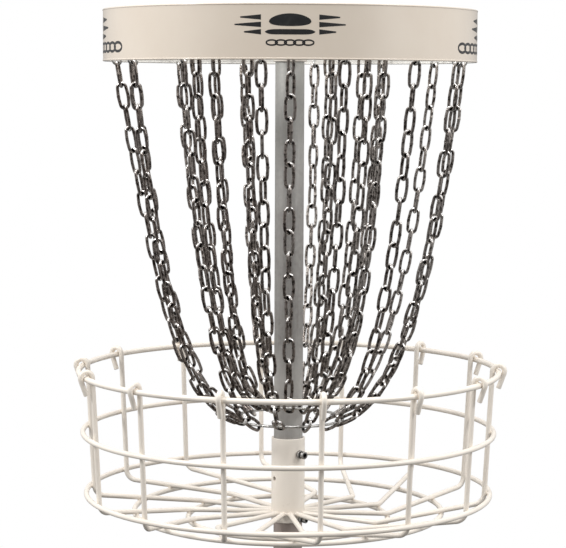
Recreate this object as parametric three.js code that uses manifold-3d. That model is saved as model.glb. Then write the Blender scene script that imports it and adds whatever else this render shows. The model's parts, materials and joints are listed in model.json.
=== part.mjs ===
// Disc golf basket: a sheet-metal deflector band, two tiers of hanging chains and a welded wire tray,
// all on one pole that drops into a sleeve set in the ground.
// Millimetres, +Z up, origin on the pole's axis at ground level. An azimuth of 0 points along -Y and
// grows towards +X.
import * as THREE from 'three';
import { mergeVertices } from 'three/addons/utils/BufferGeometryUtils.js';
import Module from 'manifold-3d';

const wasm = await Module();
wasm.setup();

// ---- Driving dimensions --------------------------------------------------------------------------

const GAP = 0.3; // left between pieces that are welded or clamped together
const BAYS = 14; // uprights, and chains in each tier
const BAY = (2 * Math.PI) / BAYS;
const degrees = (value) => THREE.MathUtils.degToRad(value);

const POLE = { radius: 24.15, wall: 2, foot: -400, top: 1412 };
const POLE_SIDES = 28;

const BAND = { radius: 309, sheet: 1.6, bottom: 1331.5, top: 1416.5, hem: 2.4, hemHeight: 5 };

const WIRE = 8.5;
const RIM = { radius: 351, z: 818.5, wire: 9.5 };
const WALL = { topRadius: 341.2, topZ: 820.5, footRadius: 330.2, footZ: 613 };
const MIDDLE_RING_Z = 716.5;
const LOWER_RING_Z = WALL.footZ;
const UPRIGHT_AZIMUTH = degrees(8.65);
const HOOK = { bend: 10, sweepPastTop: degrees(110), tipLength: 27 };
const FLOOR = { cornerZ: 597.7, cornerBend: 18, kinkRadius: 168.5, kinkZ: 575.8, kinkBend: 14, hubZ: 576.2 };
const FLOOR_OUTER_RING_RADIUS = 259;

const HUB = { inner: 24.75, outer: 28, bottom: 561, top: 703.4 };
const UPPER_HUB_SCREW = { azimuth: degrees(41), z: 677.5 };
const LOWER_HUB_SCREW = { azimuth: degrees(47.2), z: 566.9 };
const HUB_HOLE = { azimuth: degrees(-56), z: 632, radius: 4 };

const LINK_PITCH = 36.1;
const CHAIN_HOOK = 34.8; // length that the hooks at both ends add to the links
const CHAIN_RADIUS = 4; // a plain rod of about the chain's own weight per length
const OUTER_CHAIN = {
  links: 18, azimuth: degrees(16.9), hookRadius: 292, hookZ: 1369, ringRadius: 92, ringZ: 736,
};
const INNER_CHAIN = {
  links: 17, azimuth: degrees(0.8), hookRadius: 163, hookZ: 1388, ringRadius: 52.5, ringZ: 760,
};
const CHAIN_RING_WIRE = 4.5;

const RACK = { inner: 24.75, outer: 28, bottom: 1332.5, top: 1404, ringWire: 6 };
const RACK_ARMS = 7;
const RACK_ARM = { bottom: 1371, top: 1386, thickness: 4, azimuth: degrees(8.85) };
const RACK_SCREW = { azimuth: degrees(34.6), z: 1352 };

const CAP = { plugRadius: 21.4, plugBottom: 1395, flangeTop: 1415.5, crown: 1418, flatRadius: 16 };

const SLEEVE = { inner: 25.6, outer: 30.15, bottom: -430, top: 20 };
const COLLAR = { inner: 24.75, outer: 37, height: 24 };
const COLLAR_SCREW_AZIMUTH = degrees(-90);
const EAR = { reach: 72, width: 32, thickness: 5, holeX: 57, holeRadius: 6 };

const M6_SCREW = { shank: 3, hole: 3.5, nutAcrossCorners: 11.5, headRadius: 5.2 };
const M8_SCREW = { shank: 4, hole: 4.5, nutAcrossCorners: 15, headRadius: 6.5 };
const SCREW_RUN = { nutLength: 5.2, standOff: 3, headLength: 6 };

// ---- Materials -----------------------------------------------------------------------------------

const finish = (color, roughness, metalness) =>
  new THREE.MeshStandardMaterial({ color, roughness, metalness });
const powderCoat = finish(0xece4da, 0.42, 0);
const bandCoat = finish(0xe8dfd4, 0.36, 0);
const galvanised = finish(0x9c9e9f, 0.48, 0.85);
const chainSteel = finish(0x5f5955, 0.3, 0.95);
const brightSteel = finish(0xc9c9c6, 0.22, 1);
const blackPlastic = finish(0x26272a, 0.6, 0);

// ---- Helpers -------------------------------------------------------------------------------------

const basket = new THREE.Group();

function add(name, geometry, material) {
  const mesh = new THREE.Mesh(geometry, material);
  mesh.name = name;
  basket.add(mesh);
  return mesh;
}

const polar = (radius, azimuth, z) =>
  new THREE.Vector3(radius * Math.sin(azimuth), -radius * Math.cos(azimuth), z);

const numbered = (name, index) => `${name}_${String(index + 1).padStart(2, '0')}`;

// A path through given stations, so that a bend has steps of its own and a straight run needs none.
class StationPath extends THREE.Curve {
  constructor(stations) {
    super();
    this.stations = stations;
  }

  getPoint(t, target = new THREE.Vector3()) {
    const last = this.stations.length - 1;
    const index = Math.min(Math.floor(t * last), last - 1);
    return target.lerpVectors(this.stations[index], this.stations[index + 1], t * last - index);
  }

  getPointAt(u, target) {
    return this.getPoint(u, target);
  }

  getTangentAt(u, target = new THREE.Vector3()) {
    const last = this.stations.length - 1;
    const index = Math.round(u * last);
    const here = this.stations[index];
    const arriving = here.clone().sub(this.stations[Math.max(index - 1, 0)]).normalize();
    const leaving = this.stations[Math.min(index + 1, last)].clone().sub(here).normalize();
    return target.copy(arriving).add(leaving).normalize();
  }
}

// A round rod along stations, with flat ends.
function rod(stations, radius, sides) {
  const section = new THREE.Shape();
  for (let side = 0; side < sides; side += 1) {
    const angle = (2 * Math.PI * side) / sides;
    const x = radius * Math.cos(angle);
    const y = radius * Math.sin(angle);
    if (side === 0) section.moveTo(x, y);
    else section.lineTo(x, y);
  }
  section.closePath();
  const extrudePath = new StationPath(stations);
  return new THREE.ExtrudeGeometry(section, { steps: stations.length - 1, extrudePath, curveSegments: 1 });
}

// The stations of a round bend at a corner between two straight runs.
function bend(before, corner, after, radius, steps) {
  const arriving = corner.clone().sub(before).normalize();
  const leaving = after.clone().sub(corner).normalize();
  const turn = arriving.angleTo(leaving);
  const setback = radius * Math.tan(turn / 2);
  const start = corner.clone().addScaledVector(arriving, -setback);
  const inward = leaving.clone().sub(arriving).normalize();
  const centre = corner.clone().addScaledVector(inward, radius / Math.cos(turn / 2));
  const axis = arriving.clone().cross(leaving).normalize();
  const stations = [];
  for (let step = 0; step <= steps; step += 1) {
    const spoke = start.clone().sub(centre).applyAxisAngle(axis, (turn * step) / steps);
    stations.push(spoke.add(centre));
  }
  return stations;
}

// A wire ring round the pole's axis, with a vertex at every upright.
function ring(radius, z, wire, segments, azimuth = UPRIGHT_AZIMUTH) {
  const geometry = new THREE.TorusGeometry(radius, wire / 2, 6, segments);
  geometry.rotateZ(azimuth - Math.PI / 2);
  geometry.translate(0, 0, z);
  return geometry;
}

// A body of revolution about the pole's axis from a closed outline of [radius, z] points.
function turned(outline, segments) {
  const closed = [...outline, outline[0]].map(([radius, z]) => new THREE.Vector2(radius, z));
  const geometry = new THREE.LatheGeometry(closed, segments);
  geometry.rotateX(Math.PI / 2);
  return geometry;
}

const tube = (inner, outer, bottom, top, segments) =>
  turned([[inner, bottom], [outer, bottom], [outer, top], [inner, top]], segments);

// A cylinder or prism along a radius of the pole, between two distances from its axis.
function radialPrism(radius, azimuth, z, from, to, sides) {
  const geometry = new THREE.CylinderGeometry(radius, radius, to - from, sides);
  geometry.translate(0, -(from + to) / 2, 0);
  geometry.rotateZ(azimuth);
  geometry.translate(0, 0, z);
  return geometry;
}

function solid(geometry) {
  const bare = geometry.clone();
  bare.deleteAttribute('normal');
  bare.deleteAttribute('uv');
  const merged = mergeVertices(bare, 1e-3);
  const triVerts = new Uint32Array(merged.index.array);
  return new wasm.Manifold(
    new wasm.Mesh({ numProp: 3, vertProperties: merged.attributes.position.array, triVerts }),
  );
}

function meshOf(manifold) {
  const { vertProperties, triVerts } = manifold.getMesh();
  const geometry = new THREE.BufferGeometry();
  geometry.setAttribute('position', new THREE.BufferAttribute(new Float32Array(vertProperties), 3));
  geometry.setIndex(new THREE.BufferAttribute(new Uint32Array(triVerts), 1));
  geometry.computeVertexNormals();
  return geometry;
}

const joined = (geometries) => meshOf(geometries.map(solid).reduce((whole, one) => whole.add(one)));

const cut = (geometry, cutters) =>
  meshOf(cutters.map(solid).reduce((rest, one) => rest.subtract(one), solid(geometry)));

// ---- Pole and what is clamped to it --------------------------------------------------------------

// A clamp screw through a sleeve's wall, with its nut welded outside: the tip stops at the pole.
function clampScrew(name, sleeveRadius, azimuth, z, screw = M6_SCREW) {
  const nutFoot = sleeveRadius + GAP;
  const nutTop = nutFoot + SCREW_RUN.nutLength;
  const headFoot = nutTop + SCREW_RUN.standOff;
  const headTop = headFoot + SCREW_RUN.headLength;
  const pieces = [
    radialPrism(screw.shank, azimuth, z, POLE.radius + GAP, headFoot + 1, 12),
    radialPrism(screw.nutAcrossCorners / 2, azimuth, z, nutFoot, nutTop, 6),
    radialPrism(screw.headRadius, azimuth, z, headFoot, headTop, 12),
  ];
  add(name, joined(pieces), brightSteel);
}

function screwHole(azimuth, z, from, to, screw = M6_SCREW) {
  return radialPrism(screw.hole, azimuth, z, from, to, 16);
}

function pole() {
  const inner = POLE.radius - POLE.wall;
  add('pole', tube(inner, POLE.radius, POLE.foot, POLE.top, POLE_SIDES), galvanised);
  const cap = [
    [0, CAP.plugBottom],
    [CAP.plugRadius, CAP.plugBottom],
    [CAP.plugRadius, POLE.top + GAP],
    [POLE.radius, POLE.top + GAP],
    [POLE.radius, CAP.flangeTop],
    [CAP.flatRadius, CAP.crown],
    [0, CAP.crown],
  ];
  add('pole_cap', turned(cap, POLE_SIDES), blackPlastic);
}

function hub() {
  const sleeve = tube(HUB.inner, HUB.outer, HUB.bottom, HUB.top, POLE_SIDES);
  const holes = [
    screwHole(UPPER_HUB_SCREW.azimuth, UPPER_HUB_SCREW.z, 20, 40, M8_SCREW),
    screwHole(LOWER_HUB_SCREW.azimuth, LOWER_HUB_SCREW.z, 20, 40),
  ];
  holes.push(radialPrism(HUB_HOLE.radius, HUB_HOLE.azimuth, HUB_HOLE.z, 20, 40, 16));
  add('basket_hub', cut(sleeve, holes), powderCoat);
  clampScrew('hub_screw_upper', HUB.outer, UPPER_HUB_SCREW.azimuth, UPPER_HUB_SCREW.z, M8_SCREW);
  clampScrew('hub_screw_lower', HUB.outer, LOWER_HUB_SCREW.azimuth, LOWER_HUB_SCREW.z);
}

// ---- Deflector band and the rack that carries the chains -----------------------------------------

function deflectorBand() {
  const inner = BAND.radius - BAND.sheet;
  const hemInner = BAND.radius - BAND.hem;
  const lip = 0.8;
  const outline = [
    [hemInner, BAND.bottom],
    [BAND.radius + lip, BAND.bottom],
    [BAND.radius + lip, BAND.bottom + BAND.hemHeight],
    [BAND.radius, BAND.bottom + BAND.hemHeight + 1],
    [BAND.radius, BAND.top - BAND.hemHeight - 1],
    [BAND.radius + lip, BAND.top - BAND.hemHeight],
    [BAND.radius + lip, BAND.top],
    [hemInner, BAND.top],
    [hemInner, BAND.top - BAND.hemHeight],
    [inner, BAND.top - BAND.hemHeight - 1],
    [inner, BAND.bottom + BAND.hemHeight + 1],
    [hemInner, BAND.bottom + BAND.hemHeight],
  ];
  add('deflector_band', turned(outline, 4 * BAYS), bandCoat);
}

function rackArm(index) {
  const from = RACK.outer - 1.5;
  const polygonBand = (BAND.radius - BAND.sheet) * Math.cos(Math.PI / (4 * BAYS));
  const to = polygonBand - GAP;
  const height = RACK_ARM.top - RACK_ARM.bottom;
  const arm = new THREE.BoxGeometry(RACK_ARM.thickness, to - from, height);
  arm.translate(0, -(from + to) / 2, (RACK_ARM.top + RACK_ARM.bottom) / 2);
  arm.rotateZ(RACK_ARM.azimuth + (2 * Math.PI * index) / RACK_ARMS);
  return arm;
}

function chainRack() {
  const sleeve = cut(tube(RACK.inner, RACK.outer, RACK.bottom, RACK.top, POLE_SIDES), [
    screwHole(RACK_SCREW.azimuth, RACK_SCREW.z, 20, 40),
  ]);
  const arms = Array.from({ length: RACK_ARMS }, (_, index) => rackArm(index));
  const rings = [OUTER_CHAIN, INNER_CHAIN].map((tier) =>
    ring(tier.hookRadius, tier.hookZ, RACK.ringWire, 3 * BAYS, tier.azimuth),
  );
  add('chain_rack', joined([sleeve, ...arms, ...rings]), powderCoat);
  clampScrew('rack_screw', RACK.outer, RACK_SCREW.azimuth, RACK_SCREW.z);
}

// ---- Chains --------------------------------------------------------------------------------------

// The hanging curve of a tier, in its own vertical plane, from the ring (0) up to the hook (length).
function catenary(tier) {
  const reach = tier.hookRadius - tier.ringRadius;
  const drop = tier.hookZ - tier.ringZ;
  const length = tier.links * LINK_PITCH + CHAIN_HOOK;
  const slack = Math.sqrt(length ** 2 - drop ** 2);
  let low = reach / 20;
  let high = reach * 20;
  for (let round = 0; round < 60; round += 1) {
    const middle = (low + high) / 2;
    if (2 * middle * Math.sinh(reach / (2 * middle)) > slack) low = middle;
    else high = middle;
  }
  const scale = (low + high) / 2;
  const vertex = reach / 2 - scale * Math.atanh(drop / length);
  const at = (distance) => {
    const along = vertex + scale * Math.asinh(distance / scale + Math.sinh(-vertex / scale));
    const rise = scale * (Math.cosh((along - vertex) / scale) - Math.cosh(vertex / scale));
    return { radius: tier.ringRadius + along, z: tier.ringZ + rise };
  };
  return { length, at };
}

function chainTier(name, tier, steps) {
  const curve = catenary(tier);
  const start = CHAIN_RING_WIRE / 2 + 1;
  const end = curve.length - RACK.ringWire / 2 - 1.2;
  for (let index = 0; index < BAYS; index += 1) {
    const azimuth = tier.azimuth + index * BAY;
    const stations = [];
    for (let step = 0; step <= steps; step += 1) {
      const { radius, z } = curve.at(start + ((end - start) * step) / steps);
      stations.push(polar(radius, azimuth, z));
    }
    add(numbered(name, index), rod(stations, CHAIN_RADIUS, 6), chainSteel);
  }
}

function chains() {
  chainTier('outer_chain', OUTER_CHAIN, 11);
  chainTier('inner_chain', INNER_CHAIN, 9);
  const sides = 3 * BAYS;
  const outer = ring(OUTER_CHAIN.ringRadius, OUTER_CHAIN.ringZ, CHAIN_RING_WIRE, sides, OUTER_CHAIN.azimuth);
  const inner = ring(INNER_CHAIN.ringRadius, INNER_CHAIN.ringZ, CHAIN_RING_WIRE, sides, INNER_CHAIN.azimuth);
  add('outer_chain_ring', outer, brightSteel);
  add('inner_chain_ring', inner, brightSteel);
}

// ---- Wire tray -----------------------------------------------------------------------------------

function wallRadius(z) {
  const slope = (WALL.topRadius - WALL.footRadius) / (WALL.topZ - WALL.footZ);
  return WALL.footRadius + (z - WALL.footZ) * slope;
}

// The hook of an upright, from its free tip over the rim and onto the wall's slope.
function hookStations(azimuth) {
  const centre = { radius: WALL.topRadius + HOOK.bend, z: WALL.topZ };
  const lean = Math.atan((WALL.topRadius - WALL.footRadius) / (WALL.topZ - WALL.footZ));
  const first = Math.PI / 2 - HOOK.sweepPastTop;
  const last = Math.PI + lean;
  const steps = 7;
  const stations = [];
  for (let step = 0; step <= steps; step += 1) {
    const angle = first + ((last - first) * step) / steps;
    const radius = centre.radius + HOOK.bend * Math.cos(angle);
    stations.push(polar(radius, azimuth, centre.z + HOOK.bend * Math.sin(angle)));
  }
  const tipRadius = centre.radius + HOOK.bend * Math.cos(first) + HOOK.tipLength * Math.sin(first);
  const tipZ = centre.z + HOOK.bend * Math.sin(first) - HOOK.tipLength * Math.cos(first);
  return [polar(tipRadius, azimuth, tipZ), ...stations];
}

// An upright is one wire: hook, wall, bottom bend, slanting floor run, kink, and a radial run to the hub.
function upright(index) {
  const azimuth = UPRIGHT_AZIMUTH + index * BAY;
  const floorAzimuth = azimuth - BAY;
  const hook = hookStations(azimuth);
  const corner = polar(wallRadius(FLOOR.cornerZ), azimuth, FLOOR.cornerZ);
  const kink = polar(FLOOR.kinkRadius, floorAzimuth, FLOOR.kinkZ);
  const hubEnd = polar(HUB.outer + GAP + 0.2, floorAzimuth, FLOOR.hubZ);
  const stations = [
    ...hook,
    ...bend(hook[hook.length - 1], corner, kink, FLOOR.cornerBend, 5),
    ...bend(corner, kink, hubEnd, FLOOR.kinkBend, 2),
    hubEnd,
  ];
  add(numbered('basket_upright', index), rod(stations, WIRE / 2, 6), powderCoat);
}

// The height of a floor run where it passes over a circle round the pole.
function floorHeightAt(radius) {
  const corner = polar(wallRadius(FLOOR.cornerZ), 0, FLOOR.cornerZ);
  const kink = polar(FLOOR.kinkRadius, -BAY, FLOOR.kinkZ);
  let low = 0;
  let high = 1;
  for (let round = 0; round < 40; round += 1) {
    const middle = (low + high) / 2;
    const point = corner.clone().lerp(kink, middle);
    if (Math.hypot(point.x, point.y) > radius) low = middle;
    else high = middle;
  }
  return corner.lerp(kink, low).z;
}

function tray() {
  const under = WIRE + GAP;
  const sides = 3 * BAYS;
  add('rim_ring', ring(RIM.radius, RIM.z, RIM.wire, sides), powderCoat);
  const middle = ring(wallRadius(MIDDLE_RING_Z) + under, MIDDLE_RING_Z, WIRE, sides);
  const lower = ring(wallRadius(LOWER_RING_Z) + under, LOWER_RING_Z, WIRE, sides);
  add('middle_ring', middle, powderCoat);
  add('lower_ring', lower, powderCoat);
  const outerZ = floorHeightAt(FLOOR_OUTER_RING_RADIUS) - under;
  const innerZ = FLOOR.kinkZ - under;
  add('floor_ring_outer', ring(FLOOR_OUTER_RING_RADIUS, outerZ, WIRE, sides), powderCoat);
  add('floor_ring_inner', ring(FLOOR.kinkRadius, innerZ, WIRE, sides), powderCoat);
  for (let index = 0; index < BAYS; index += 1) upright(index);
}

// ---- Ground sleeve and locking collar ------------------------------------------------------------

// A flat ear for a padlock, with its hole, reaching out along +X.
function eared(sleeve, inner, bottom) {
  const top = bottom + EAR.thickness;
  const from = inner + 2;
  const ear = new THREE.BoxGeometry(EAR.reach - from, EAR.width, EAR.thickness);
  ear.translate((EAR.reach + from) / 2, 0, (bottom + top) / 2);
  const hole = new THREE.CylinderGeometry(EAR.holeRadius, EAR.holeRadius, 4 * EAR.thickness, 20);
  hole.rotateX(Math.PI / 2);
  hole.translate(EAR.holeX, 0, bottom);
  return cut(joined([sleeve, ear]), [hole]);
}

function groundFitting() {
  const socket = tube(SLEEVE.inner, SLEEVE.outer, SLEEVE.bottom, SLEEVE.top, POLE_SIDES);
  add('ground_sleeve', eared(socket, SLEEVE.inner, SLEEVE.top - EAR.thickness), galvanised);
  const foot = SLEEVE.top + GAP;
  const screwZ = foot + COLLAR.height / 2;
  const ringBody = cut(tube(COLLAR.inner, COLLAR.outer, foot, foot + COLLAR.height, POLE_SIDES), [
    screwHole(COLLAR_SCREW_AZIMUTH, screwZ, 20, 50),
  ]);
  add('lock_collar', eared(ringBody, COLLAR.inner, foot), galvanised);
  clampScrew('lock_collar_screw', COLLAR.outer, COLLAR_SCREW_AZIMUTH, screwZ);
}

pole();
hub();
deflectorBand();
chainRack();
chains();
tray();
groundFitting();

export default basket;
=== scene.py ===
import functools
import json
import math
import random

import bpy
import numpy as np
from mathutils import Matrix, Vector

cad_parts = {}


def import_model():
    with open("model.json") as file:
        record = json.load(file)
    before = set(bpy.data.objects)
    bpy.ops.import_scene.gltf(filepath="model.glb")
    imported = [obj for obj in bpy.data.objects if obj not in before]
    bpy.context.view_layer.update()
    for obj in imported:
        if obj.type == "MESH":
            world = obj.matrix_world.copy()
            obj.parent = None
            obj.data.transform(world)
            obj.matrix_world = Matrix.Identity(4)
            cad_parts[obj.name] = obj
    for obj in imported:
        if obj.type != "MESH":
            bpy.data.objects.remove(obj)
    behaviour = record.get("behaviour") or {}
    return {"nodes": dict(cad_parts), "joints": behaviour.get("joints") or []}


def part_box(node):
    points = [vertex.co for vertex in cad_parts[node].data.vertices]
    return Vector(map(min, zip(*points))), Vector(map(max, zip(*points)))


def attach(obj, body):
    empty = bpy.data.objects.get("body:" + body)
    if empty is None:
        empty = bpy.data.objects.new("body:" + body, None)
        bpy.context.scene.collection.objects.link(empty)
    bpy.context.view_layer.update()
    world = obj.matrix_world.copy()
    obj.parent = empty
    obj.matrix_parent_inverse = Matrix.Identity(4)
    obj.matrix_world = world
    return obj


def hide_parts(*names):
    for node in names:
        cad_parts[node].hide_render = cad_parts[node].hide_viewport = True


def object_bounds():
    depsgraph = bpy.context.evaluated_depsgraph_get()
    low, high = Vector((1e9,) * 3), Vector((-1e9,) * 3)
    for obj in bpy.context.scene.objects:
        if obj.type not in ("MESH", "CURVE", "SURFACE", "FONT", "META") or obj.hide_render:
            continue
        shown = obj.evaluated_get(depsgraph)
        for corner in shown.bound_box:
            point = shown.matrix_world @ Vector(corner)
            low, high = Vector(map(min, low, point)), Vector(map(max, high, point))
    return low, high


# Disc golf basket: the fine surfaces of a sheet-metal band, hanging chains and a welded wire tray.
# Metres, +Z up, origin on the pole's axis at ground level. An azimuth of 0 points along -Y and grows
# towards +X.

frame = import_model()
CAD_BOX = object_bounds()

# ---- Driving dimensions ----

MM = 0.001
TAU = 2 * math.pi
UP = np.array([0.0, 0.0, 1.0])

BAYS = 14
BAY = TAU / BAYS
POLE_BODY = "pole_assembly"
GAP = 0.3 * MM
CAP_FLAT_RADIUS = 16 * MM
# Inner and outer.
SOCKET_RADII = (25.6 * MM, 30.15 * MM)
COLLAR_RADII = (24.75 * MM, 37 * MM)
# Azimuth, height and radius.
HUB_HOLE = (math.radians(-56), 635 * MM, 4 * MM)
M6_HOLE_RADIUS = 3.3 * MM
M8_HOLE_RADIUS = 4.3 * MM
# Halves of the thread's diameter, the nut's width across its flats and the head's diameter.
M6_SCREW = (3.0 * MM, 5.0 * MM, 5.2 * MM)
M8_SCREW = (4.0 * MM, 6.5 * MM, 6.5 * MM)
HEAD_LENGTH = 6 * MM

UPRIGHTS = [math.radians(8.65) + index * BAY for index in range(BAYS)]
WIRE = 8.5 * MM
HOOK_BEND = 10 * MM
HOOK_SWEEP_PAST_TOP = math.radians(110)
HOOK_TIP = 27 * MM
HOOK_RISE = 2 * MM
FLOOR_CORNER_Z = 597.7 * MM
FLOOR_CORNER_BEND = 18 * MM
FLOOR_KINK_BEND = 14 * MM
FLOOR_HUB_Z = 576.2 * MM

LINK_PITCH = 36.1 * MM
LINK_WIRE_RADIUS = 2.65 * MM
LINK_HALF_WIDTH = 7.9 * MM
LINK_BOW = 6.9 * MM
CHAIN_HOOK = 34.8 * MM
FIRST_LINK = 12.3 * MM
# Chains towards this azimuth are painted lighter: a painted light from that side.
PAINTED_LIGHT_CHAINS_AZIMUTH = math.radians(120)
FRONT_CHAIN = "inner_chain_01"
# Angle of its top link, and the angle that each link below turns on by.
FRONT_CHAIN_LAY = (math.radians(-26), math.radians(64.5))
TIGHT_CHAIN = "outer_chain_11"
TIGHT_CHAIN_PULL = 13 * MM
HOOK_WIRE_RADIUS = 2.2 * MM
# Radii of the S hooks' eyes.
HOOK_TOP_EYE = 6.2 * MM
HOOK_LINK_EYE = 6.6 * MM

BAND_SHEET = 1.6 * MM
# Radius of the rolled edges.
BAND_BEAD = 1.6 * MM
BAND_SEAM_AZIMUTH = math.radians(44)
SEAM_PROUD = 0.7 * MM
PRINT_DEPTH = 0.1 * MM
PRINT_PROUD = 0.12 * MM

RACK_ARMS = 7
RACK_ARM_AZIMUTH = math.radians(8.85)
RACK_ARM_THICKNESS = 4 * MM
RACK_ARM_SPAN = (1371 * MM, 1386 * MM)
RACK_RING_WIRE_RADIUS = 3 * MM

EAR_AZIMUTH = math.radians(90)
EAR_WIDTH = 32 * MM
EAR_THICKNESS = 5 * MM
EAR_REACH = 72 * MM
# Distance out and radius.
EAR_HOLE = (57 * MM, 6 * MM)

# ---- Places and vectors ----


def outward(azimuth):
    """Unit vector away from the pole."""
    return np.array([math.sin(azimuth), -math.cos(azimuth), 0.0])


def around(azimuth):
    """Unit vector round the pole, towards growing azimuth."""
    return np.array([math.cos(azimuth), math.sin(azimuth), 0.0])


def polar(radius, azimuth, z):
    return radius * outward(azimuth) + z * UP


def unit(vector):
    return vector / np.linalg.norm(vector)


def numbered(name, index):
    return f"{name}_{index + 1:02d}"


# ---- Sizes read from the frame ----


def vertices(node):
    return np.array([vertex.co for vertex in frame["nodes"][node].data.vertices])


@functools.cache
def turned_size(node):
    """Inner and outer radius, bottom and top of a CAD solid that is turned about the pole's axis."""
    points = vertices(node)
    reach = np.hypot(points[:, 0], points[:, 1])
    return reach.min(), reach.max(), points[:, 2].min(), points[:, 2].max()


def ring_size(node):
    """Centreline radius, height and wire radius of a CAD wire ring."""
    inner, outer, bottom, top = turned_size(node)
    return (inner + outer) / 2, (bottom + top) / 2, (outer - inner) / 2


def screw_size(node):
    """Azimuth, height, and distances of the tip and the head's top from the pole's axis."""
    low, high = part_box(node)
    middle = (low + high) / 2
    azimuth = math.atan2(middle.x, -middle.y)
    reach = vertices(node) @ outward(azimuth)
    return azimuth, middle.z, reach.min(), reach.max()


# ---- Mesh building ----


class Shape:
    """Points and faces gathered for one piece, with each point's painted light (a highlight above zero, a
    shadow below zero) and how tinted each point is.
    """

    def __init__(self):
        self.points = []
        self.faces = []
        self.painted_highlight_and_shadow = []
        self.tint = []

    def add(self, points, faces, painted_highlight_and_shadow=0.0, tint=0.0):
        first = len(self.points)
        self.points.extend(map(tuple, points))
        self.faces.extend([tuple(first + corner for corner in face) for face in faces])
        self.painted_highlight_and_shadow.extend(np.broadcast_to(painted_highlight_and_shadow, len(points)))
        self.tint.extend(np.broadcast_to(tint, len(points)))
        return self


def loft(rings, closed):
    """Faces between rings of equal count, with end caps unless the rings close on themselves."""
    count, sides = rings.shape[:2]
    faces = []
    for ring in range(count if closed else count - 1):
        here = ring * sides
        there = (ring + 1) % count * sides
        for side in range(sides):
            beside = (side + 1) % sides
            faces.append((here + side, here + beside, there + beside, there + side))
    if not closed:
        faces.append(tuple(reversed(range(sides))))
        faces.append(tuple((count - 1) * sides + side for side in range(sides)))
    return rings.reshape(-1, 3), faces


def tangents_of(path, closed):
    if closed:
        steps = np.roll(path, -1, axis=0) - np.roll(path, 1, axis=0)
    else:
        steps = np.gradient(path, axis=0)
    return steps / np.linalg.norm(steps, axis=1)[:, None]


def carried_normals(tangents):
    """Normals carried along a path without twist."""
    guess = UP if abs(tangents[0][2]) < 0.9 else np.array([1.0, 0.0, 0.0])
    normal = unit(guess - tangents[0] * (guess @ tangents[0]))
    normals = [normal]
    for tangent in tangents[1:]:
        normal = unit(normal - tangent * (normal @ tangent))
        normals.append(normal)
    return np.array(normals)


def wire_rings(path, radius, sides, closed=False, plane=None):
    """Rings of points round a path; plane is the normal of the plane that a flat path lies in."""
    path = np.asarray(path, float)
    tangents = tangents_of(path, closed)
    if plane is None:
        first = carried_normals(tangents)
    else:
        first = np.broadcast_to(plane, path.shape)
    second = np.cross(tangents, first)
    angles = (np.arange(sides) * TAU / sides)[None, :, None]
    spokes = np.cos(angles) * first[:, None] + np.sin(angles) * second[:, None]
    radii = np.broadcast_to(radius, len(path))[:, None, None]
    return path[:, None] + radii * spokes


def wire(shape, path, radius, sides=14, closed=False, plane=None, painted_highlight_and_shadow=0.0, tint=0.0):
    rings = wire_rings(path, radius, sides, closed, plane)
    points, faces = loft(rings, closed)
    if np.ndim(painted_highlight_and_shadow):
        painted_highlight_and_shadow = np.repeat(painted_highlight_and_shadow, sides)
    return shape.add(points, faces, painted_highlight_and_shadow, tint)


def cut_ends(path, radius, chamfer):
    """Path and radii of a wire whose two ends are cut off square and lightly broken."""
    path = np.asarray(path, float)
    start = path[0] + chamfer * unit(path[1] - path[0])
    end = path[-1] + chamfer * unit(path[-2] - path[-1])
    path = np.concatenate([path[:1], [start], path[1:-1], [end], path[-1:]])
    radii = np.full(len(path), radius)
    radii[[0, -1]] = radius - chamfer
    return path, radii


def circle(radius, azimuth, z, count):
    """Points of a circle round the pole's axis, from an azimuth."""
    return [polar(radius, azimuth + TAU * step / count, z) for step in range(count)]


def even_turns(count):
    return [TAU * step / count for step in range(count)]


def filleted(outline, radius, steps=4):
    """A closed outline of (radius, z) corners with every corner rounded."""
    corners = [np.array(corner, float) for corner in outline]
    count = len(corners)
    result = []
    for index, corner in enumerate(corners):
        to_before = corners[index - 1] - corner
        to_after = corners[(index + 1) % count] - corner
        reach = min(radius, 0.45 * np.linalg.norm(to_before), 0.45 * np.linalg.norm(to_after))
        start = corner + reach * unit(to_before)
        end = corner + reach * unit(to_after)
        for t in np.linspace(0, 1, steps + 1):
            result.append((1 - t) ** 2 * start + 2 * t * (1 - t) * corner + t * t * end)
    return result


def turned(shape, outline, azimuths, swell=None):
    """A body of revolution from a closed outline, counter-clockwise in (radius, z).

    swell(azimuth) adds to every radius at that azimuth."""
    rings = []
    for azimuth in azimuths:
        extra = swell(azimuth) if swell else 0.0
        rings.append([polar(radius + extra, azimuth, z) for radius, z in outline])
    points, faces = loft(np.array(rings), closed=True)
    return shape.add(points, faces)


def tube(inner, outer, bottom, top, edge, segments=112, swell=None):
    """A plain tube about the pole's axis, with rounded edges."""
    corners = [(inner, bottom), (outer, bottom), (outer, top), (inner, top)]
    return turned(Shape(), filleted(corners, edge), even_turns(segments), swell)


def weld(shape, centre, azimuth, size, rough, noise):
    """A lumpy ellipsoid of weld metal; size is half of it round, away from and along the pole, in mm."""
    axes = [half * MM * axis for half, axis in zip(size, (around(azimuth), outward(azimuth), UP))]
    rows, columns = 7, 10
    points = [centre - axes[2]]
    for row in range(1, rows):
        polar_angle = math.pi * row / rows
        for column in range(columns):
            turn = TAU * column / columns
            lump = 1 + rough * noise.uniform(-1, 1)
            across = math.sin(polar_angle) * (math.cos(turn) * axes[0] + math.sin(turn) * axes[1])
            points.append(centre + lump * (across - math.cos(polar_angle) * axes[2]))
    points.append(centre + axes[2])
    last = len(points) - 1
    faces = []
    for column in range(columns):
        beside = (column + 1) % columns
        faces.append((0, 1 + beside, 1 + column))
        for row in range(rows - 2):
            here = 1 + row * columns
            above = here + columns
            faces.append((here + column, here + beside, above + beside, above + column))
        top = 1 + (rows - 2) * columns
        faces.append((top + column, top + beside, last))
    return shape.add(points, faces)


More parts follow.
